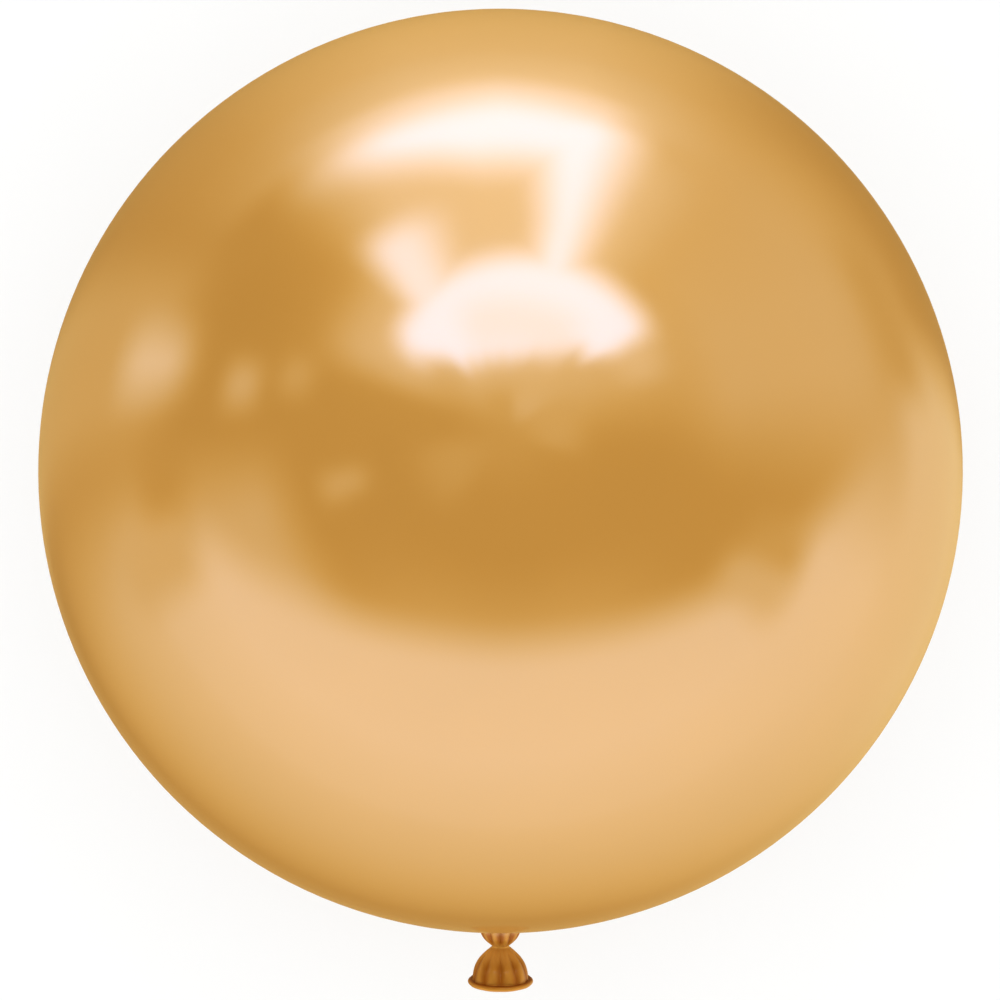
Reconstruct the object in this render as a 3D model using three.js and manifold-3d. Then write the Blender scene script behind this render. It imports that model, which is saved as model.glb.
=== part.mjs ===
// A giant round latex balloon, inflated and closed by a pinch in its neck, lying on its side.
// Millimetres, +Z up. The origin is the middle of the flat spot that the balloon rests on, and +Y
// runs along the balloon's own axis, from the neck to the crown.
//
// The whole balloon is one dipped film. The body is sealed and full, so it is solid here. Past the
// pinch the neck opens again into a short fluted tail, a thin bell that ends in a rolled lip.
import * as THREE from "three";
import { mergeVertices } from "three/addons/utils/BufferGeometryUtils.js";
import Module from "manifold-3d";

// Body
const BODY_DIAMETER = 914;
const FLAT_SPOT_DIAMETER = 90;

// Neck, in lengths that follow each other outwards along the axis from the body's pole
const SHOULDER_RADIUS = 56; // where the round of the body gives way to the gathered film
const SHOULDER_LENGTH = 14; // from the pole to the neck's widest
const NECK_RADIUS = 18.6;
const NECK_LENGTH = 12.6; // from the neck's widest to the pinch
const PINCH_RADIUS = 8.8;
const PINCH_LENGTH = 1;
const TAIL_LENGTH = 35.3; // from the pinch to the middle of the lip
const TAIL_RADIUS = 28.2; // outside, at the lip
const FILM_THICKNESS = 0.6;
const THROAT_LENGTH = 5; // film squeezed solid between the pinch and the hollow of the tail
const LIP_THICKNESS = 5.4;

// Slopes of the outline, in degrees from the axis
const NECK_SLOPE = 22;
const PINCH_SLOPE = 48;
const BELL_SLOPE = 6;

// How far each curve keeps up the slopes at its ends, as a share of the distance between them
const SHOULDER_PULL = 0.5;
const NECK_PULL = 0.36;
const BELL_PULL = 0.4;

// Folds that the pinch gathers into the film on both sides of it, with their depth from ridge to
// valley
const FOLDS = 10;
const NECK_FOLD_DEPTH = 2.6;
const TAIL_FLUTE_DEPTH = 2.4;
const LIP_WAVE_DEPTH = 0.5;

// The folds differ in depth around the balloon by a slow wave: its share of the depth, how often it
// comes round, and the turn in radians that it starts from
const UNEVENNESS = 0.22;
const UNEVEN_WAVES = 3;
const UNEVEN_START = 1;

// Facets
const AROUND = 80;
const CROWN_STEPS = 13;
const BODY_STEPS = 13;
const SHOULDER_STEPS = 6;
const NECK_STEPS = 5;
const TAIL_STEPS = 8;
const LIP_STEPS = 8;
const HOLLOW_STEPS = 6;

const LATEX = new THREE.MeshStandardMaterial({ color: 0xcf9a4c, roughness: 0.25, metalness: 0.85 });

const point = (radius, y) => new THREE.Vector2(radius, y);
const radians = THREE.MathUtils.degToRad;

// A direction out along the axis, which a positive slope turns away from the axis.
const slope = (degrees) => point(Math.sin(radians(degrees)), -Math.cos(radians(degrees)));

// A curve that leaves its start and reaches its end at the given slopes.
function bend(start, leaving, end, arriving, pull) {
  const reach = start.distanceTo(end) * pull;
  const first = start.clone().addScaledVector(slope(leaving), reach);
  const second = end.clone().addScaledVector(slope(arriving), -reach);
  return new THREE.CubicBezierCurve(start, first, second, end);
}

// The outline is drawn with its zero at the middle of the body. The body is a circle, from the crown
// round to the shoulder.
const bodyRadius = BODY_DIAMETER / 2;
const shoulderTurn = Math.asin(SHOULDER_RADIUS / bodyRadius);
const bodyArc = (from, to) => new THREE.EllipseCurve(0, 0, bodyRadius, bodyRadius, from, to, true);
const crownCurve = bodyArc(Math.PI / 2, 0);
const bodyCurve = bodyArc(0, shoulderTurn - Math.PI / 2);

// The film draws in from the shoulder to the neck, and closes at the pinch.
const neckY = -bodyRadius - SHOULDER_LENGTH;
const pinchY = neckY - NECK_LENGTH;
const tailY = pinchY - PINCH_LENGTH;
const shoulderStart = point(SHOULDER_RADIUS, -bodyRadius * Math.cos(shoulderTurn));
const shoulderSlope = THREE.MathUtils.radToDeg(shoulderTurn) - 90;
const neckStart = point(NECK_RADIUS, neckY);
const pinchStart = point(PINCH_RADIUS, pinchY);
const shoulderCurve = bend(shoulderStart, shoulderSlope, neckStart, -NECK_SLOPE, SHOULDER_PULL);
const neckCurve = bend(neckStart, -NECK_SLOPE, pinchStart, -PINCH_SLOPE, NECK_PULL);

// The tail opens like a bell as far as the lip, a roll of film that lies outside the bell's edge.
const lipRadius = LIP_THICKNESS / 2;
const lipCentre = point(TAIL_RADIUS - FILM_THICKNESS + lipRadius, tailY - TAIL_LENGTH);
const lipMeets = Math.acos((TAIL_RADIUS - lipCentre.x) / lipRadius);
const tailStart = point(PINCH_RADIUS, tailY);
const tailEnd = point(TAIL_RADIUS, lipCentre.y + lipRadius * Math.sin(lipMeets));
const tailCurve = bend(tailStart, PINCH_SLOPE, tailEnd, BELL_SLOPE, BELL_PULL);
const lipCurve = new THREE.EllipseCurve(
  lipCentre.x, lipCentre.y, lipRadius, lipRadius, lipMeets, -Math.PI, true,
);

// The hollow of the tail starts at the throat and follows the bell one film thickness inside it.
const throatY = tailY - THROAT_LENGTH;
const throatShare = THROAT_LENGTH / tailStart.distanceTo(tailEnd);

// Points along a curve, each with the way out of the film and the depth of its folds there. The
// depth goes from its first value to its last, by way of the middle one.
function stretch({ curve, steps, depths, from = 0, to = 1, inset = 0, out = null }) {
  const [first, middle, last] = depths;
  return Array.from({ length: steps + 1 }, (_, i) => {
    const share = i / steps;
    const t = THREE.MathUtils.lerp(from, to, share);
    const tangent = curve.getTangent(t);
    const normal = out ?? point(-tangent.y, tangent.x);
    const depth = (1 - share) ** 2 * first + 2 * share * (1 - share) * middle + share ** 2 * last;
    return { at: curve.getPoint(t).addScaledVector(normal, -inset), normal, depth };
  });
}

const outline = [
  stretch({ curve: crownCurve, steps: CROWN_STEPS, depths: [0, 0, 0] }),
  stretch({ curve: bodyCurve, steps: BODY_STEPS, depths: [0, 0, 0] }).slice(1),
  stretch({
    curve: shoulderCurve,
    steps: SHOULDER_STEPS,
    depths: [0, NECK_FOLD_DEPTH / 2, NECK_FOLD_DEPTH],
  }).slice(1),
  stretch({
    curve: neckCurve,
    steps: NECK_STEPS,
    depths: [NECK_FOLD_DEPTH, NECK_FOLD_DEPTH, 0],
  }).slice(1),
  stretch({
    curve: tailCurve,
    steps: TAIL_STEPS,
    depths: [0, 2 * TAIL_FLUTE_DEPTH, LIP_WAVE_DEPTH],
  }),
  stretch({
    curve: lipCurve,
    steps: LIP_STEPS,
    depths: [LIP_WAVE_DEPTH, LIP_WAVE_DEPTH, LIP_WAVE_DEPTH],
    out: point(1, 0),
  }).slice(1),
  stretch({
    curve: tailCurve,
    steps: HOLLOW_STEPS,
    depths: [LIP_WAVE_DEPTH, 2 * TAIL_FLUTE_DEPTH, 0],
    from: 1,
    to: throatShare,
    inset: FILM_THICKNESS,
  }),
  [{ at: point(0, throatY), normal: point(0, 0), depth: 0 }],
].flat();

// Rounded ridges with narrow valleys between them, from -1/2 in a valley to 1/2 on a ridge. One
// valley faces straight up.
function foldWave(turn) {
  const uneven = 1 + UNEVENNESS * Math.sin(UNEVEN_WAVES * turn + UNEVEN_START);
  return (Math.abs(Math.sin((FOLDS * turn) / 2)) - 0.5) * uneven;
}

// The outline turned about the axis, with the folds pressed into each ring. A lathe's faces point
// outwards when its outline runs from the neck to the crown.
function balloonGeometry() {
  const rings = [...outline].reverse();
  const geometry = new THREE.LatheGeometry(rings.map((ring) => ring.at), AROUND);
  const position = geometry.getAttribute("position");
  for (let i = 0; i < position.count; i++) {
    const { at, normal, depth } = rings[i % rings.length];
    const turn = (2 * Math.PI * Math.floor(i / rings.length)) / AROUND;
    const lift = depth * foldWave(turn);
    const radius = at.x + normal.x * lift;
    position.setXYZ(i, radius * Math.sin(turn), at.y + normal.y * lift, radius * Math.cos(turn));
  }
  return geometry;
}

// A block of floor, whose top is the plane that the balloon rests on.
function floorGeometry() {
  return new THREE.BoxGeometry(BODY_DIAMETER, BODY_DIAMETER, bodyRadius).translate(
    0, 0, -bodyRadius / 2,
  );
}

const wasm = await Module();
wasm.setup();

function solidOf(geometry) {
  const bare = geometry.clone();
  bare.deleteAttribute("normal");
  bare.deleteAttribute("uv");
  const merged = mergeVertices(bare, 1e-3);
  return new wasm.Manifold(
    new wasm.Mesh({
      numProp: 3,
      vertProperties: merged.getAttribute("position").array,
      triVerts: new Uint32Array(merged.index.array),
    }),
  );
}

function geometryOf(solid) {
  const { vertProperties, triVerts } = solid.getMesh();
  const geometry = new THREE.BufferGeometry();
  geometry.setAttribute("position", new THREE.BufferAttribute(vertProperties, 3));
  geometry.setIndex(new THREE.BufferAttribute(triVerts, 1));
  geometry.computeVertexNormals();
  return geometry;
}

// The balloon settles until its flat spot has its full width, and the floor cuts it there.
const settledHeight = Math.sqrt(bodyRadius ** 2 - (FLAT_SPOT_DIAMETER / 2) ** 2);
const settled = solidOf(balloonGeometry().translate(0, 0, settledHeight));
const balloon = new THREE.Mesh(geometryOf(settled.subtract(solidOf(floorGeometry()))), LATEX);
balloon.name = "balloon";

const part = new THREE.Group();
part.add(balloon);

export default part;
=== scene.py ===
"""A giant round latex balloon with a mirror gold finish, lying on its side on a pale floor.

The film is one piece: a round body, gathers at the shoulder, the pinch that closes the neck, and a
fluted tail with a rolled lip. The balloon's own axis is Y, from the neck to the crown. The camera
looks straight down, with the crown at the top of the picture.
"""

import math

import bmesh
import bpy
from mathutils import Matrix, Vector, noise
from mathutils.geometry import interpolate_bezier


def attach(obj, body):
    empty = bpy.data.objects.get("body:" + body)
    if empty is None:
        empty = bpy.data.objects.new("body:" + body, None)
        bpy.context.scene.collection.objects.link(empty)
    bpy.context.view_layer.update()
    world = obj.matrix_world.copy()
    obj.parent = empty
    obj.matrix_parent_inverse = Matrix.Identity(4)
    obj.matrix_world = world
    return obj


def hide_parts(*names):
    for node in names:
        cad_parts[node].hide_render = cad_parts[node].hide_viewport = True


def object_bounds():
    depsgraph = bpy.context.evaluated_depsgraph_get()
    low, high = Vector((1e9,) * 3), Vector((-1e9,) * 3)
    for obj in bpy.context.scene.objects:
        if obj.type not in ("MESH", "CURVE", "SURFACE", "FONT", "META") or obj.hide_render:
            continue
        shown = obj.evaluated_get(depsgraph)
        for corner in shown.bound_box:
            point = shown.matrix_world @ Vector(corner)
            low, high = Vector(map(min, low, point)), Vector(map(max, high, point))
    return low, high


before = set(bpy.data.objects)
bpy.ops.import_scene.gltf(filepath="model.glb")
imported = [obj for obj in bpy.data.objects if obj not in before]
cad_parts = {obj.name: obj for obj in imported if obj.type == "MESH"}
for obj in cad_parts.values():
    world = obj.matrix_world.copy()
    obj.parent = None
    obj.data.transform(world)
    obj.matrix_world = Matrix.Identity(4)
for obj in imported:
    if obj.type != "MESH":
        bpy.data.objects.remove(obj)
CAD_LOW, CAD_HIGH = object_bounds()

bl_info = {
    "name": "Giant latex balloon",
    "version": (1, 0, 0),
    "blender": (4, 5, 0),
    "location": "3D View > Sidebar > Balloon",
    "description": "Makes a giant round latex balloon and the studio it lies in",
    "category": "Add Mesh",
}

MILLIMETRE = 0.001
MICRON = 1e-6
DEGREES = 180 / math.pi
OVERHEAD = Vector((0, 0, 1))
BALLOON_AXIS = Vector((0, 1, 0))

# Faces along each stretch of the film's outline, and of the backdrop's
CROWN_STEPS = 88
SHOULDER_STEPS = 22
NECK_STEPS = 14
BELL_STEPS = 26
LIP_STEPS = 16
COVE_STEPS = 12
COVE_AROUND = 96

# The slow wave that makes the folds uneven: how often it comes round, and the turn it starts from
UNEVEN_WAVES = 3
UNEVEN_START = 1

# How dark the painted shade gets in the crease above the lip, as a share of its depth in the folds
LIP_CREASE_SHADE = 0.9

# Patterns in the film and the floor, by how many of their waves a metre holds
FILM_WAVES = 9
FILM_CLOUDS = 7
FILM_GRAINS = 1400
FLOOR_CLOUDS = 3

# The numbers of a Mix node's colour sockets: the two that go in, and the one that comes out
FIRST_COLOUR = 6
SECOND_COLOUR = 7
MIXED_COLOUR = 2

# The camera's sensor, in millimetres
SENSOR_WIDTH = 36

# The backdrop's ring of faces under the balloon, as a share of its radius
INNER_RING = 0.3

# The studio's own overhead, tipped from the room's towards the crown
STUDIO_OVERHEAD = Vector((0.0215, 0.1327, 0.9909)).normalized()

# The colour of the studio's light, as the red and blue in it for each part of green: what they are
# in the dark, and how they change as the brightness goes from the first number to the second
DARK_RED = 1.6
DARK_BLUE = 0.3
COLOUR_CHANGES = (
    (0, 0.3, -0.3, 0.12),
    (0.3, 0.66, -0.2, 0.2),
    (0.66, 1.4, -0.06, 0.24),
    (1.4, 3.6, -0.34, 0.62),
)

# Small lights and shadows in the studio: the brightness, the edges at the left, right, top and
# bottom in degrees, and how soft the upright edges and the level ones are
SMALL_PATCHES = (
    (1.24, -77, -67, 82, 103, 6, 8),
    (0.72, -80, -70, 60, 69, 5, 4),
    (0.46, -76, -66, 47, 55, 5, 4),
    (0.95, 54, 66, 30, 40, 6, 5),
    (0.54, -109, -99, 33, 44, 5, 4),
    (0.32, -140, -95, 6, 20, 14, 6),
    (0.14, -102, -86, 80, 95, 6, 7),
    (0.04, -66, -50, 60, 76, 7, 8),
    (0.26, 55, 76, 104, 121, 5, 8),
    (0.62, -111, -98, 81, 108, 5, 7),
    (0.75, 14, 48, 5, 13, 8, 4),
    (0.46, 52, 102, 6, 17, 12, 5),
    (0.34, -30, 3, 4, 9, 7, 4),
    (0.3, 103, 115, 62, 79, 6, 6),
    (0.75, 113, 122, 60, 79, 5, 6),
)


# Sizes and colours


def length(name, millimetres, description):
    """A length that the user sees in the scene's units."""
    return bpy.props.FloatProperty(
        name=name, description=description, default=millimetres * MILLIMETRE, min=0, unit="LENGTH"
    )


def angle(name, degrees, description):
    """An angle that the user sees in degrees."""
    return bpy.props.FloatProperty(
        name=name, description=description, default=math.radians(degrees), subtype="ANGLE"
    )


def share(name, default, description):
    """A part of a whole, from 0 to 1."""
    return bpy.props.FloatProperty(
        name=name, description=description, default=default, min=0, max=1, subtype="FACTOR"
    )


def count(name, default, description):
    """A whole number of like things."""
    return bpy.props.IntProperty(name=name, description=description, default=default, min=1)


def colour(name, default, description):
    """A colour in linear light."""
    return bpy.props.FloatVectorProperty(
        name=name, description=description, default=default, size=3, min=0, subtype="COLOR"
    )


def number(name, default, description):
    """A plain number."""
    return bpy.props.FloatProperty(name=name, description=description, default=default)


class BalloonShape(bpy.types.PropertyGroup):
    """The film's sizes."""

    body_diameter: length(
        "Body", (CAD_HIGH.x - CAD_LOW.x) / MILLIMETRE, "Across the body at its widest"
    )
    body_top: length("Top", CAD_HIGH.z / MILLIMETRE, "Height of the body's top above the floor")
    shoulder_radius: length("Shoulder", 56, "Radius at which the gathers start on the body")
    shoulder_length: length("Shoulder length", 14, "From the body's pole to the neck's widest")
    neck_radius: length("Neck", 18.6, "Radius of the neck at its widest")
    neck_length: length("Neck length", 12.6, "From the neck's widest to the pinch")
    pinch_radius: length("Pinch", 8.8, "Radius of the film where it is squeezed shut")
    pinch_length: length("Pinch length", 1, "Length of the squeezed stretch")
    tail_length: length("Tail length", 35.3, "From the pinch to the middle of the lip")
    tail_radius: length("Tail", 28.2, "Outside radius of the tail at the lip")
    film_thickness: length("Film", 0.6, "Thickness of the film in the tail")
    throat_length: length("Throat", 5, "Film squeezed solid between the pinch and the hollow")
    lip_thickness: length("Lip", 5.4, "Thickness of the rolled lip")
    neck_slope: angle("Neck slope", 22, "How steeply the neck's widest draws in")
    pinch_slope: angle("Pinch slope", 48, "How steeply the film runs in and out of the pinch")
    bell_slope: angle("Bell slope", 6, "How steeply the tail still opens at the lip")
    shoulder_pull: share("Shoulder pull", 0.5, "How far the shoulder keeps up its end slopes")
    neck_pull: share("Neck pull", 0.36, "How far the neck keeps up its end slopes")
    bell_pull: share("Bell pull", 0.4, "How far the bell keeps up its end slopes")
    folds: count("Folds", 10, "Gathers round the neck, which run on into the tail")
    neck_fold_depth: length("Neck fold depth", 2.6, "From ridge to valley in the neck")
    tail_flute_depth: length("Flute depth", 2.4, "From ridge to valley in the tail")
    lip_wave_depth: length("Lip wave depth", 0.5, "How far the lip waves in and out")
    # Width of the band of painted shade along the crease where the lip rolls up to the tail
    crease_shade_width: length("Crease", 1.6, "Width of the crease where the lip rolls up to the tail")
    unevenness: share("Unevenness", 0.22, "How much the folds differ in depth")
    film_waviness: length("Waviness", 0.06, "How far the film's surface strays from a true round")
    around: count("Steps around", 320, "Faces around the axis")


class BalloonFinish(bpy.types.PropertyGroup):
    """The latex's colours and gloss, and the painted shade in its folds."""

    gold: colour("Gold", (0.421, 0.2, 0.032), "Latex stretched over the body")
    cloudiness: share("Cloudiness", 0.07, "How much darker the clouds in the stretched latex are")
    deep_gold: colour("Deep gold", (0.41, 0.18, 0.024), "Unstretched latex of the neck and tail")
    # Painted shade: the darker colour in the valleys of the folds and in the crease above the lip
    painted_fold_shade: colour("Fold gold", (0.26, 0.075, 0.003), "Unstretched latex deep in the folds")
    pinch_gold: colour("Pinch gold", (0.68, 0.36, 0.07), "Latex pulled tight round the pinch")
    pinch_part: share("Pinch part", 0.8, "How much of the pinch's colour shows")
    pinch_low: number("Pinch start", -0.494, "Where the pinch's colour starts along the axis")
    pinch_high: number("Pinch end", -0.484, "Where the pinch's colour ends along the axis")
    pinch_softness: length("Pinch softness", 8, "How softly the pinch's colour ends")
    metallic: share("Metallic", 0.2, "Share of the pigment's metal lustre on the body")
    slack_metallic: share("Slack metallic", 0.4, "Share of metal lustre in the neck and tail")
    roughness: share("Roughness", 0.55, "How much the pigment scatters light")
    slack_roughness: share("Slack roughness", 0.45, "How much the neck and tail scatter light")
    roughness_clouds: share("Roughness clouds", 0.06, "How much the scattering varies in clouds")
    gloss: share("Gloss", 0.5, "How much of the body is covered by the film's glossy skin")
    slack_gloss: share("Slack gloss", 0.04, "How much of the neck and tail is glossy")
    gloss_roughness: share("Gloss roughness", 0.1, "How much the film's skin blurs reflections")
    gloss_strength: number("Gloss strength", 2.6, "Refractive index of the film's glossy skin")


class BalloonStudio(bpy.types.PropertyGroup):
    """The camera, the light and the floor."""

    camera_distance: number("Camera distance", 4.06, "From the body's middle, in body radii")
    lens: number("Lens", 65.5, "Focal length in millimetres on a 36 mm sensor")
    shift_x: number("Shift across", -0.0005, "Picture moved left or right, as a share of its width")
    shift_y: number("Shift up", -0.029, "Picture moved up or down, as a share of its width")
    cove_radius: length("Cove radius", 5000, "From the balloon to the backdrop's wall")
    cove_bend: length("Cove bend", 1500, "Radius of the bend from the floor up to the wall")
    brightness: number("Brightness", 2.0, "Strength of the light that the gloss mirrors")
    evenness: number("Even light", 1.5, "Strength of the even light on the pigment and the floor")
    floor_tone: share("Floor tone", 0.4, "How much light the floor returns")
    floor_clouds: share("Floor clouds", 0.02, "How much darker the clouds in the floor are")
    floor_glow: share("Floor glow", 0.46, "Light that the floor gives of its own")


# Shader maths


class Value:
    """A number or colour that varies: a node's output that Python's operators work on."""

    def __init__(self, sheet, socket):
        self.sheet = sheet
        self.socket = socket

    def calculate(self, operation, *operands):
        """The result of a Math node on this value and the others."""
        inputs = dict(enumerate((self, *operands)))
        return self.sheet.add("ShaderNodeMath", {"operation": operation}, inputs)

    def __add__(self, other):
        return self.calculate("ADD", other)

    def __radd__(self, other):
        return self.calculate("ADD", other)

    def __sub__(self, other):
        return self.calculate("SUBTRACT", other)

    def __rsub__(self, other):
        return self.calculate("MULTIPLY_ADD", -1, other)

    def __mul__(self, other):
        return self.calculate("MULTIPLY", other)

    def __rmul__(self, other):
        return self.calculate("MULTIPLY", other)

    def __abs__(self):
        return self.calculate("ABSOLUTE")


class Sheet:
    """The node tree of one material or world."""

    def __init__(self, owner):
        owner.use_nodes = True
        self.tree = owner.node_tree
        self.tree.nodes.clear()

    def add(self, kind, settings=None, inputs=None, output=0):
        """Adds a node, with its settings first and then its sockets' values or links."""
        node = self.tree.nodes.new(kind)
        for name, value in (settings or {}).items():
            setattr(node, name, value)
        for key, value in (inputs or {}).items():
            if isinstance(value, Value):
                self.tree.links.new(value.socket, node.inputs[key])
            else:
                node.inputs[key].default_value = value
        return Value(self, node.outputs[output]) if node.outputs else node

    def rise(self, value, low, high, start=0.0, end=1.0, kind="SMOOTHSTEP"):
        """A slope from start to end as the value goes from low to high, level on either side."""
        inputs = {"Value": value, "From Min": low, "From Max": high, "To Min": start, "To Max": end}
        return self.add("ShaderNodeMapRange", {"interpolation_type": kind}, inputs)

    def fall(self, value, low, high):
        """1 up to low and 0 past high, with a soft slope between them."""
        return self.rise(value, low, high, 1.0, 0.0)

    def ramp(self, value, low, high, start, end):
        """A straight slope from start to end as the value goes from low to high."""
        return self.rise(value, low, high, start, end, "LINEAR")

    def between(self, value, low, high, soft):
        """1 between low and high and 0 outside, with soft edges."""
        return self.rise(value, low - soft, low + soft) * self.fall(value, high - soft, high + soft)

    def blend(self, first, second, part):
        """A number that goes from the first to the second as part goes from 0 to 1."""
        return first + (second - first) * part

    def tint(self, first, second, part):
        """A colour that goes from the first to the second as part goes from 0 to 1."""
        settings = {"data_type": "RGBA", "clamp_factor": True}
        inputs = {0: part, FIRST_COLOUR: first, SECOND_COLOUR: second}
        return self.add("ShaderNodeMix", settings, inputs, MIXED_COLOUR)

    def mottle(self, where, scale, detail=2.0):
        """Slow noise around 0.5."""
        inputs = {"Vector": where, "Scale": scale, "Detail": detail}
        return self.add("ShaderNodeTexNoise", {"noise_dimensions": "3D"}, inputs)

    def along(self, vector, axis):
        """How far a vector goes along an axis."""
        inputs = {0: vector, 1: axis}
        return self.add("ShaderNodeVectorMath", {"operation": "DOT_PRODUCT"}, inputs, "Value")


def opaque(rgb):
    """A colour with its alpha."""
    return (*rgb, 1.0)


# Outlines and meshes


def direction(slope):
    """A step out along the axis, turned away from the axis by the slope, as (radius, y)."""
    return Vector((math.sin(slope), -math.cos(slope)))


def bend(start, leaving, end, arriving, pull, steps):
    """Points of a curve that leaves its start and reaches its end at the given slopes."""
    reach = (end - start).length * pull
    first = start + direction(leaving) * reach
    second = end - direction(arriving) * reach
    return [Vector(point[:2]) for point in interpolate_bezier(start, first, second, end, steps + 1)]


def arc(centre, radius, start, end, steps):
    """Points of a circle's arc between two turns, measured from the outward direction."""
    turns = [start + (end - start) * i / steps for i in range(steps + 1)]
    return [centre + Vector((math.cos(turn), math.sin(turn))) * radius for turn in turns]


def outward(points, flip=1):
    """The way out of the film at each point of a stretch."""
    ways = []
    for i in range(len(points)):
        along = points[min(i + 1, len(points) - 1)] - points[max(i - 1, 0)]
        ways.append(Vector((-along.y, along.x)).normalized() * flip)
    return ways


def fade(values, steps):
    """Values along a stretch, from the first to the last by way of the middle one."""
    first, middle, last = values
    parts = [i / steps for i in range(steps + 1)]
    return [(1 - p) ** 2 * first + 2 * p * (1 - p) * middle + p**2 * last for p in parts]


def thread(bm, places):
    """A chain of vertices with edges between them."""
    chain = [bm.verts.new(place) for place in places]
    for first, second in zip(chain, chain[1:]):
        bm.edges.new((first, second))
    return chain


def revolve(bm, axis, steps):
    """Turns a chain about an axis through the origin into a closed surface."""
    bmesh.ops.spin(
        bm,
        geom=bm.verts[:] + bm.edges[:],
        cent=(0, 0, 0),
        axis=axis,
        angle=2 * math.pi,
        steps=steps,
        use_merge=True,
    )
    bmesh.ops.remove_doubles(bm, verts=bm.verts, dist=MICRON)


def finish_object(name, bm, material):
    """A finished mesh object at the origin."""
    mesh = bpy.data.meshes.new(name)
    bm.to_mesh(mesh)
    bm.free()
    mesh.materials.append(material)
    made = bpy.data.objects.new(name, mesh)
    bpy.context.scene.collection.objects.link(made)
    return made


# The film


def film_outline(shape):
    """Rings of the film from the crown to the throat: place, way out, fold depth, slack and shade.

    Slack says how little the film is stretched, from 0 on the body to 1 in the tail. Shade says how
    much painted shade darkens the valleys of the folds, and past 1 the painted shade is wider too.
    """
    body = shape.body_diameter / 2
    shoulder_turn = math.asin(shape.shoulder_radius / body)
    shoulder = Vector((shape.shoulder_radius, -body * math.cos(shoulder_turn)))
    neck = Vector((shape.neck_radius, -body - shape.shoulder_length))
    pinch = Vector((shape.pinch_radius, neck.y - shape.neck_length))
    tail = Vector((shape.pinch_radius, pinch.y - shape.pinch_length))
    throat_y = tail.y - shape.throat_length
    lip_radius = shape.lip_thickness / 2
    lip_x = shape.tail_radius - shape.film_thickness + lip_radius
    lip = Vector((lip_x, tail.y - shape.tail_length))
    lip_meets = math.acos((shape.tail_radius - lip.x) / lip_radius)
    tail_end = lip + Vector((math.cos(lip_meets), math.sin(lip_meets))) * lip_radius
    body_end = shoulder_turn - math.pi / 2
    neck_slope = -shape.neck_slope

    crown_arc = arc(Vector((0, 0)), body, math.pi / 2, body_end, CROWN_STEPS)
    shoulder_bend = bend(shoulder, body_end, neck, neck_slope, shape.shoulder_pull, SHOULDER_STEPS)
    neck_bend = bend(neck, neck_slope, pinch, -shape.pinch_slope, shape.neck_pull, NECK_STEPS)
    bell = bend(tail, shape.pinch_slope, tail_end, shape.bell_slope, shape.bell_pull, BELL_STEPS)
    lip_arc = arc(lip, lip_radius, lip_meets, -math.pi, LIP_STEPS)
    inner = [
        point - way * shape.film_thickness
        for point, way in zip(bell, outward(bell))
        if point.y < throat_y
    ][::-1]

    fold = shape.neck_fold_depth
    flute = 2 * shape.tail_flute_depth
    wave = shape.lip_wave_depth
    sideways = [Vector((1, 0))] * len(lip_arc)
    stretches = [
        (crown_arc, outward(crown_arc), (0, 0, 0), (0, 0, 0), (0, 0, 0)),
        # The last numbers are painted shade for the fold valleys; 1.8 at the neck's top also paints
        # the shadow under the body
        (shoulder_bend, outward(shoulder_bend), (0, fold / 2, fold), (0, -1, 1), (0, 0, 1.8)),
        (neck_bend, outward(neck_bend), (fold, fold, 0), (1, 1, 1), (1.8, 1.1, 0.1)),
        (bell, outward(bell), (0, flute, wave), (1, 1, 1), (0.1, 0.9, 1)),
        (lip_arc, sideways, (wave, wave, wave), (1, 1, 1), (0, 0, 0)),
        (inner, outward(inner, -1), (wave, flute, 0), (1, 1, 1), (1, 1, 1)),
    ]
    rings = []
    for points, ways, *levels in stretches:
        depths, slacks, shades = (fade(level, len(points) - 1) for level in levels)
        for ring in zip(points, ways, depths, slacks, shades):
            if not rings or (ring[0] - rings[-1][0]).length >= MICRON:
                rings.append(ring)
    rings.append((Vector((0, throat_y)), Vector((0, 0)), 0, 1, 1))
    return rings


def fold_wave(folds, turn, unevenness):
    """Rounded ridges with narrow valleys between them, from -1/2 in a valley to 1/2 on a ridge."""
    uneven = 1 + unevenness * math.sin(UNEVEN_WAVES * turn + UNEVEN_START)
    return (abs(math.sin(folds * turn / 2)) - 0.5) * uneven


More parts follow.
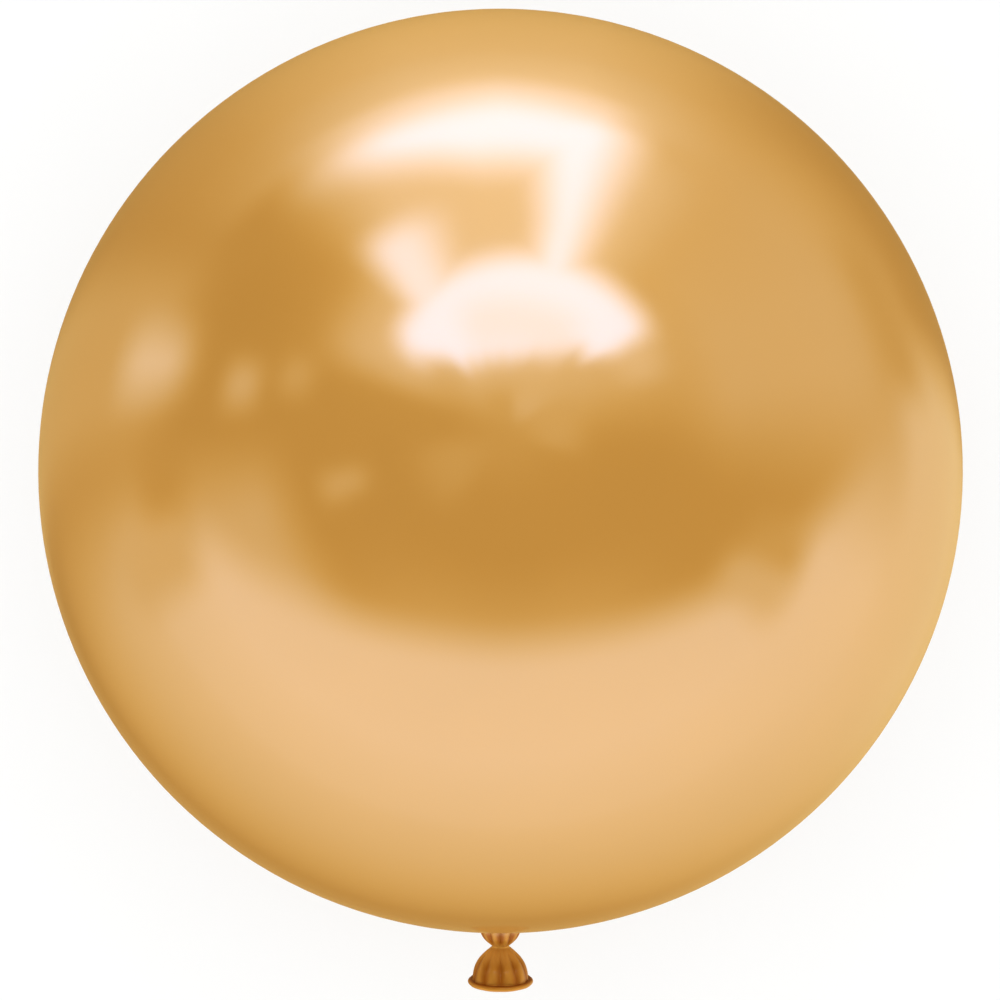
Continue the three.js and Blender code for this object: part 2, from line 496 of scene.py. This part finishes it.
def make_film(shape):
    """The balloon's film as one closed mesh, with its slack and its painted crease shade as
    attributes.
    """
    bm = bmesh.new()
    layers = bm.verts.layers.float
    passing = ("way_out", "way_along", "fold_depth", "shade")
    way_out, way_along, depth_at, shade_at, slack_at, crease_shade_at = (
        layers.new(name) for name in (*passing, "slack", "crease_shade")
    )
    rings = film_outline(shape)
    tail_start = rings[-1][0].y + shape.throat_length
    lip_top = tail_start - shape.tail_length + shape.lip_thickness / 2
    chain = thread(bm, [(0, point.y, point.x) for point, *_ in rings])
    for vertex, (point, way, depth, slack, shade) in zip(chain, rings):
        vertex[way_out], vertex[way_along] = way
        vertex[depth_at] = depth
        vertex[shade_at] = shade
        vertex[slack_at] = max(0, slack)
        # Painted shade: a dark band along the crease above the lip
        vertex[crease_shade_at] = max(0, LIP_CREASE_SHADE - abs(point.y - lip_top) / shape.crease_shade_width)
    revolve(bm, BALLOON_AXIS, shape.around)
    for vertex in bm.verts:
        x, y, z = vertex.co
        turn = math.atan2(x, z)
        lift = vertex[depth_at] * fold_wave(shape.folds, turn, shape.unevenness)
        # Painted shade: the valleys of the folds get the darker fold colour
        valley_shade = math.cos(shape.folds * turn / 2) ** 2 * vertex[shade_at]
        vertex[crease_shade_at] = max(vertex[crease_shade_at], valley_shade)
        radius = math.hypot(x, z)
        ratio = (radius + vertex[way_out] * lift) / radius if radius > MICRON else 1
        vertex.co = (x * ratio, y + vertex[way_along] * lift, z * ratio)
        wave = noise.noise(vertex.co * FILM_WAVES) * shape.film_waviness * (1 - vertex[slack_at])
        vertex.co += vertex.co.normalized() * wave
    height = shape.body_top - shape.body_diameter / 2
    bmesh.ops.translate(bm, verts=bm.verts, vec=OVERHEAD * height)
    bmesh.ops.recalc_face_normals(bm, faces=bm.faces)
    cut_flat_spot(bm)
    for name in passing:
        layers.remove(layers[name])
    return bm


def cut_flat_spot(bm):
    """Flattens the underside where the film rests on the floor, with a sharp rim."""
    for face in bm.faces:
        face.smooth = True
    everything = bm.verts[:] + bm.edges[:] + bm.faces[:]
    bmesh.ops.bisect_plane(
        bm, geom=everything, plane_co=(0, 0, 0), plane_no=OVERHEAD, clear_inner=True
    )
    rim = [edge for edge in bm.edges if edge.is_boundary]
    for edge in rim:
        edge.smooth = False
    bmesh.ops.edgeloop_fill(bm, edges=rim)


def gold_latex(finish):
    """Stretched latex with metal pigment under a glossy skin, deeper in colour where slack, with
    painted shade in the folds.
    """
    material = bpy.data.materials.new("gold_latex")
    sheet = Sheet(material)
    place = sheet.add("ShaderNodeTexCoord", output="Object")
    slack = sheet.add("ShaderNodeAttribute", {"attribute_name": "slack"}, output="Fac")
    crease_shade = sheet.add("ShaderNodeAttribute", {"attribute_name": "crease_shade"}, output="Fac")
    axis_place = sheet.add("ShaderNodeSeparateXYZ", {}, {0: place}, "Y")
    cloud = sheet.mottle(place, FILM_CLOUDS)
    grain = sheet.mottle(place, FILM_GRAINS, 1.0)

    clouded = [part * (1 - finish.cloudiness) for part in finish.gold]
    taut = sheet.tint(opaque(finish.gold), opaque(clouded), cloud)
    # Painted shade: the slack latex darkens towards the fold colour in the valleys of the folds and
    # the crease above the lip
    loose_and_fold_shade = sheet.tint(opaque(finish.deep_gold), opaque(finish.painted_fold_shade), crease_shade)
    pinch = (finish.pinch_low, finish.pinch_high, finish.pinch_softness)
    pinched = sheet.between(axis_place, *pinch) * finish.pinch_part
    loose_and_fold_shade = sheet.tint(loose_and_fold_shade, opaque(finish.pinch_gold), pinched)

    roughness = sheet.blend(finish.roughness, finish.slack_roughness, slack)
    bumps = {"Strength": 0.04, "Distance": 0.0002, "Height": grain}
    dents = sheet.add("ShaderNodeBump", {}, bumps)
    skin = sheet.add(
        "ShaderNodeBsdfPrincipled",
        {},
        {
            "Base Color": sheet.tint(taut, loose_and_fold_shade, slack),
            "Metallic": sheet.blend(finish.metallic, finish.slack_metallic, slack),
            "Specular IOR Level": 0.05,
            "Roughness": roughness + (cloud - 0.5) * finish.roughness_clouds,
            "Normal": dents,
            "Coat Weight": sheet.blend(finish.gloss, finish.slack_gloss, slack),
            "Coat Roughness": finish.gloss_roughness,
            "Coat IOR": finish.gloss_strength,
        },
    )
    sheet.add("ShaderNodeOutputMaterial", {}, {"Surface": skin})
    return material


# The studio's light


class Surroundings:
    """The direction that light comes from, seen from the balloon.

    Down is its angle from overhead. Across is its turn from the crown's side, to the right where it
    is over 0, and wide is the same turn to either side. All three are in degrees.
    """

    def __init__(self, sheet):
        ray = sheet.add("ShaderNodeTexCoord", output="Generated")
        right = BALLOON_AXIS.cross(STUDIO_OVERHEAD).normalized()
        self.sheet = sheet
        self.right = sheet.along(ray, right)
        self.ahead = sheet.along(ray, STUDIO_OVERHEAD.cross(right))
        self.up = sheet.along(ray, STUDIO_OVERHEAD)
        self.down = self.up.calculate("ARCCOSINE") * DEGREES
        self.across = self.right.calculate("ARCTAN2", self.ahead) * DEGREES
        self.wide = abs(self.across)

    def patch(self, left, right, top, bottom, soft_across, soft_down):
        """1 inside the four edges and 0 outside, with soft edges."""
        inside = self.sheet.between(self.across, left, right, soft_across)
        return inside * self.sheet.between(self.down, top, bottom, soft_down)


def dim_room(view):
    """The room: dark overhead, dim all round, and brightest low down on the crown's side."""
    sheet, down, across = view.sheet, view.down, view.across
    light = sheet.rise(down, 0, 16, 0.22, 0.08)

    ceiling = sheet.between(across, -50, 72, 24)
    ceiling = ceiling * sheet.rise(down, 1, 15) * sheet.fall(down, 34, 62)
    light = sheet.blend(light, 0.7, ceiling)

    right_wall = sheet.rise(across, 12, 30) * sheet.fall(across, 72, 104)
    right_wall = right_wall * sheet.rise(down, 34, 56) * sheet.fall(down, 86, 136)
    light = sheet.blend(light, sheet.ramp(across, 38, 62, 0.52, 0.64), right_wall)

    low = sheet.rise(across, -60, -24) * sheet.fall(across, 20, 43) * sheet.rise(down, 84, 94)
    low_light = sheet.ramp(down, 90, 112, 1.2, 0.6) * sheet.ramp(down, 112, 150, 1.0, 0.32)
    light = sheet.blend(light, low_light * sheet.ramp(view.wide, 12, 36, 1.0, 0.52), low)

    low_left = sheet.between(across, -84, -57, 8) * sheet.rise(down, 78, 96)
    light = sheet.blend(light, sheet.ramp(down, 100, 150, 0.46, 0.3), low_left)

    behind = sheet.rise(down, 26, 50) * sheet.rise(view.wide, 118, 165)
    light = sheet.blend(light, 0.4, behind)
    return sheet.blend(light, 0.66, view.patch(-134, -94, 54, 84, 12, 8))


def hang_scrim(view, light):
    """Adds a pale scrim low down on the neck's side, below a slanting edge, and its right end."""
    sheet, down, across = view.sheet, view.down, view.across
    edge = abs(view.right) * 0.06 - (view.ahead * 0.985 + view.up)
    scrim = sheet.rise(across, 72, 108) + sheet.fall(across, -112, -80)
    scrim = sheet.rise(edge, -0.13, 0.23) * scrim
    left_light = sheet.ramp(down, 78, 102, 1.32, 1.0) * sheet.ramp(down, 98, 148, 1.0, 0.05)
    right_light = sheet.ramp(down, 78, 108, 1.28, 1.1) * sheet.ramp(down, 106, 150, 1.0, 0.5)
    right_part = sheet.rise(across, 0, 1) * sheet.fall(across, 96, 178)
    light = sheet.blend(light, sheet.blend(left_light, right_light, right_part), scrim)

    right_end = sheet.rise(across, 62, 78) * sheet.fall(across, 100, 130)
    right_end = right_end * sheet.rise(down, 100, 118)
    return sheet.blend(light, sheet.ramp(down, 112, 150, 0.92, 0.56), right_end)


def spread_halo(view, light):
    """Adds the soft glow round the lamps, and a dimmer patch at its left."""
    sheet, down, across = view.sheet, view.down, view.across
    halo = sheet.rise(across, -46, -20) * sheet.fall(across, 20, 42)
    halo = halo * sheet.rise(down, 8, 30) * sheet.fall(down + view.wide * 0.35, 80, 104)
    light = light.calculate("MAXIMUM", sheet.blend(light, 1.12, halo))
    return sheet.blend(light, 0.85, view.patch(-62, -36, 20, 45, 8, 9))


def light_lamps(view, light):
    """Adds the lamps: a bright table with a ragged top edge, its two legs and a foot below them."""
    sheet, down, across = view.sheet, view.down, view.across
    teeth = (across * 0.6).calculate("SINE") * 0.7
    top_edge = sheet.rise(across, -41, -29, 24.2, 17.9) + sheet.ramp(across, 8, 36, 0, 7.6)
    top_edge = top_edge + sheet.ramp(across, 45, 58, 0, 8)
    off_middle = across - 22
    bottom_edge = off_middle * off_middle * -0.002 + 43.6
    table = sheet.rise(across, -56, -40) * sheet.fall(across, 46, 60)
    table = table * sheet.rise(down - top_edge + teeth, -4, 4.5)
    table = table * sheet.fall(down - bottom_edge, -5, 5)

    left_leg = sheet.rise(across, -40, -29) * sheet.fall(across, -27, -9)
    left_leg = left_leg * sheet.rise(down, 27, 37) * sheet.fall(down, 51, 63) * 0.78
    lean = sheet.ramp(down, 52, 82, 0, 5)
    right_leg = sheet.rise(across + lean, 3, 17) * sheet.fall(across, 14, 29)
    right_leg = right_leg * sheet.rise(down, 28, 40) * sheet.fall(down, 81, 95)

    foot = sheet.rise(across, -44, -17) * sheet.fall(across, 15, 26)
    foot = foot * sheet.rise(down - sheet.ramp(across, -30, -5, 78.5, 68.5), -10, 9)
    foot = foot * sheet.fall(down + view.wide * 0.15, 81, 102)

    lamps = table.calculate("MAXIMUM", left_leg).calculate("MAXIMUM", right_leg)
    light = sheet.blend(light, 3.08, lamps.calculate("MAXIMUM", foot))
    return sheet.blend(light, 2.68, view.patch(-20, 34, 21, 32, 9, 5))


def studio_light(view):
    """How bright the studio is in each direction."""
    light = dim_room(view)
    light = hang_scrim(view, light)
    light = spread_halo(view, light)
    light = light_lamps(view, light)
    for brightness, *edges in SMALL_PATCHES:
        light = view.sheet.blend(light, brightness, view.patch(*edges))
    return view.sheet.blend(light, 0.24, view.sheet.rise(view.down, 140, 176))


def glow_colour(sheet, light):
    """The colour of light this bright: warm where it is dim, and white where it is bright."""
    red, blue = DARK_RED, DARK_BLUE
    for low, high, red_change, blue_change in COLOUR_CHANGES:
        red = red + sheet.ramp(light, low, high, 0, red_change)
        blue = blue + sheet.ramp(light, low, high, 0, blue_change)
    parts = {"Red": light * red, "Green": light, "Blue": light * blue}
    return sheet.add("ShaderNodeCombineColor", {}, parts)


def light_studio(studio):
    """Soft light from all round, warm where it is dim and white at the lamps.

    The pattern shows in the gloss alone. The pigment under it takes the studio's even brightness.
    """
    world = bpy.data.worlds.new("studio")
    world.cycles.sampling_method = "NONE"
    bpy.context.scene.world = world
    sheet = Sheet(world)
    glow = glow_colour(sheet, studio_light(Surroundings(sheet)))
    white = opaque((1, 1, 1))
    pattern = sheet.add("ShaderNodeBackground", {}, {"Color": glow, "Strength": studio.brightness})
    even = sheet.add("ShaderNodeBackground", {}, {"Color": white, "Strength": studio.evenness})
    mirrored = sheet.add("ShaderNodeLightPath", output="Is Glossy Ray")
    both = sheet.add("ShaderNodeMixShader", {}, {0: mirrored, 1: even, 2: pattern})
    sheet.add("ShaderNodeOutputWorld", {}, {"Surface": both})


# The floor and the camera


def pale_floor(studio):
    """Matt off-white, with a little light of its own so that it stays pale under the balloon."""
    material = bpy.data.materials.new("pale_floor")
    sheet = Sheet(material)
    place = sheet.add("ShaderNodeTexCoord", output="Object")
    cloud = sheet.mottle(place, FLOOR_CLOUDS)
    tone = studio.floor_tone
    clouded = tone * (1 - studio.floor_clouds)
    pale = sheet.tint(opaque((tone,) * 3), opaque((clouded,) * 3), cloud)
    paint = sheet.add(
        "ShaderNodeBsdfPrincipled",
        {},
        {
            "Base Color": pale,
            "Roughness": 0.9,
            "Emission Color": opaque((0.96, 0.99, 1.0)),
            "Emission Strength": studio.floor_glow,
        },
    )
    sheet.add("ShaderNodeOutputMaterial", {}, {"Surface": paint})
    return material


def make_cove(studio):
    """A floor that bends up into a round wall, seen by the camera alone."""
    bm = bmesh.new()
    radius = studio.cove_radius
    turn = studio.cove_bend
    outline = [Vector((0, 0)), Vector((radius * INNER_RING, 0))]
    outline += arc(Vector((radius - turn, turn)), turn, -math.pi / 2, 0, COVE_STEPS)
    outline += [Vector((radius, radius))]
    thread(bm, [(point.x, 0, point.y) for point in outline])
    revolve(bm, OVERHEAD, COVE_AROUND)
    bmesh.ops.recalc_face_normals(bm, faces=bm.faces)
    for face in bm.faces:
        face.smooth = True
    cove = finish_object("floor", bm, pale_floor(studio))
    cove.visible_glossy = False
    cove.visible_diffuse = False
    cove.visible_shadow = False


def place_camera(studio, shape):
    """A camera straight above the balloon, with the crown at the top of the picture."""
    lens = bpy.data.cameras.new("camera")
    lens.sensor_width = SENSOR_WIDTH
    lens.lens = studio.lens
    lens.shift_x = studio.shift_x
    lens.shift_y = studio.shift_y
    camera = bpy.data.objects.new("camera", lens)
    radius = shape.body_diameter / 2
    height = shape.body_top - radius + studio.camera_distance * radius
    camera.matrix_world = Matrix.Translation(OVERHEAD * height)
    bpy.context.scene.collection.objects.link(camera)
    bpy.context.scene.camera = camera


# Operators and panel


class BALLOON_OT_film(bpy.types.Operator):
    """Make the balloon's latex film, from the crown to the rolled lip"""

    bl_idname = "balloon.film"
    bl_label = "Latex film"
    bl_options = {"REGISTER", "UNDO"}

    def execute(self, context):
        scene = context.scene
        bm = make_film(scene.balloon_shape)
        film = finish_object("balloon_film", bm, gold_latex(scene.balloon_finish))
        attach(film, "root")
        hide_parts("balloon")
        return {"FINISHED"}


class BALLOON_OT_studio(bpy.types.Operator):
    """Make the floor, the light and the camera"""

    bl_idname = "balloon.studio"
    bl_label = "Studio"
    bl_options = {"REGISTER", "UNDO"}

    def execute(self, context):
        scene = context.scene
        make_cove(scene.balloon_studio)
        light_studio(scene.balloon_studio)
        place_camera(scene.balloon_studio, scene.balloon_shape)
        scene.view_settings.view_transform = "Standard"
        return {"FINISHED"}


class BALLOON_PT_maker(bpy.types.Panel):
    """Sizes, finish and studio of the balloon"""

    bl_idname = "BALLOON_PT_maker"
    bl_label = "Giant latex balloon"
    bl_space_type = "VIEW_3D"
    bl_region_type = "UI"
    bl_category = "Balloon"

    def draw(self, context):
        scene = context.scene
        for operator, settings in (
            ("balloon.film", (scene.balloon_shape, scene.balloon_finish)),
            ("balloon.studio", (scene.balloon_studio,)),
        ):
            box = self.layout.box()
            for group in settings:
                for name in group.__annotations__:
                    box.prop(group, name)
            box.operator(operator)


CLASSES = (
    BalloonShape,
    BalloonFinish,
    BalloonStudio,
    BALLOON_OT_film,
    BALLOON_OT_studio,
    BALLOON_PT_maker,
)


def register():
    for made in CLASSES:
        bpy.utils.register_class(made)
    bpy.types.Scene.balloon_shape = bpy.props.PointerProperty(type=BalloonShape)
    bpy.types.Scene.balloon_finish = bpy.props.PointerProperty(type=BalloonFinish)
    bpy.types.Scene.balloon_studio = bpy.props.PointerProperty(type=BalloonStudio)


def unregister():
    del bpy.types.Scene.balloon_studio
    del bpy.types.Scene.balloon_finish
    del bpy.types.Scene.balloon_shape
    for made in reversed(CLASSES):
        bpy.utils.unregister_class(made)


def main():
    register()
    bpy.ops.balloon.film()
    bpy.ops.balloon.studio()


if __name__ == "__main__":
    main()
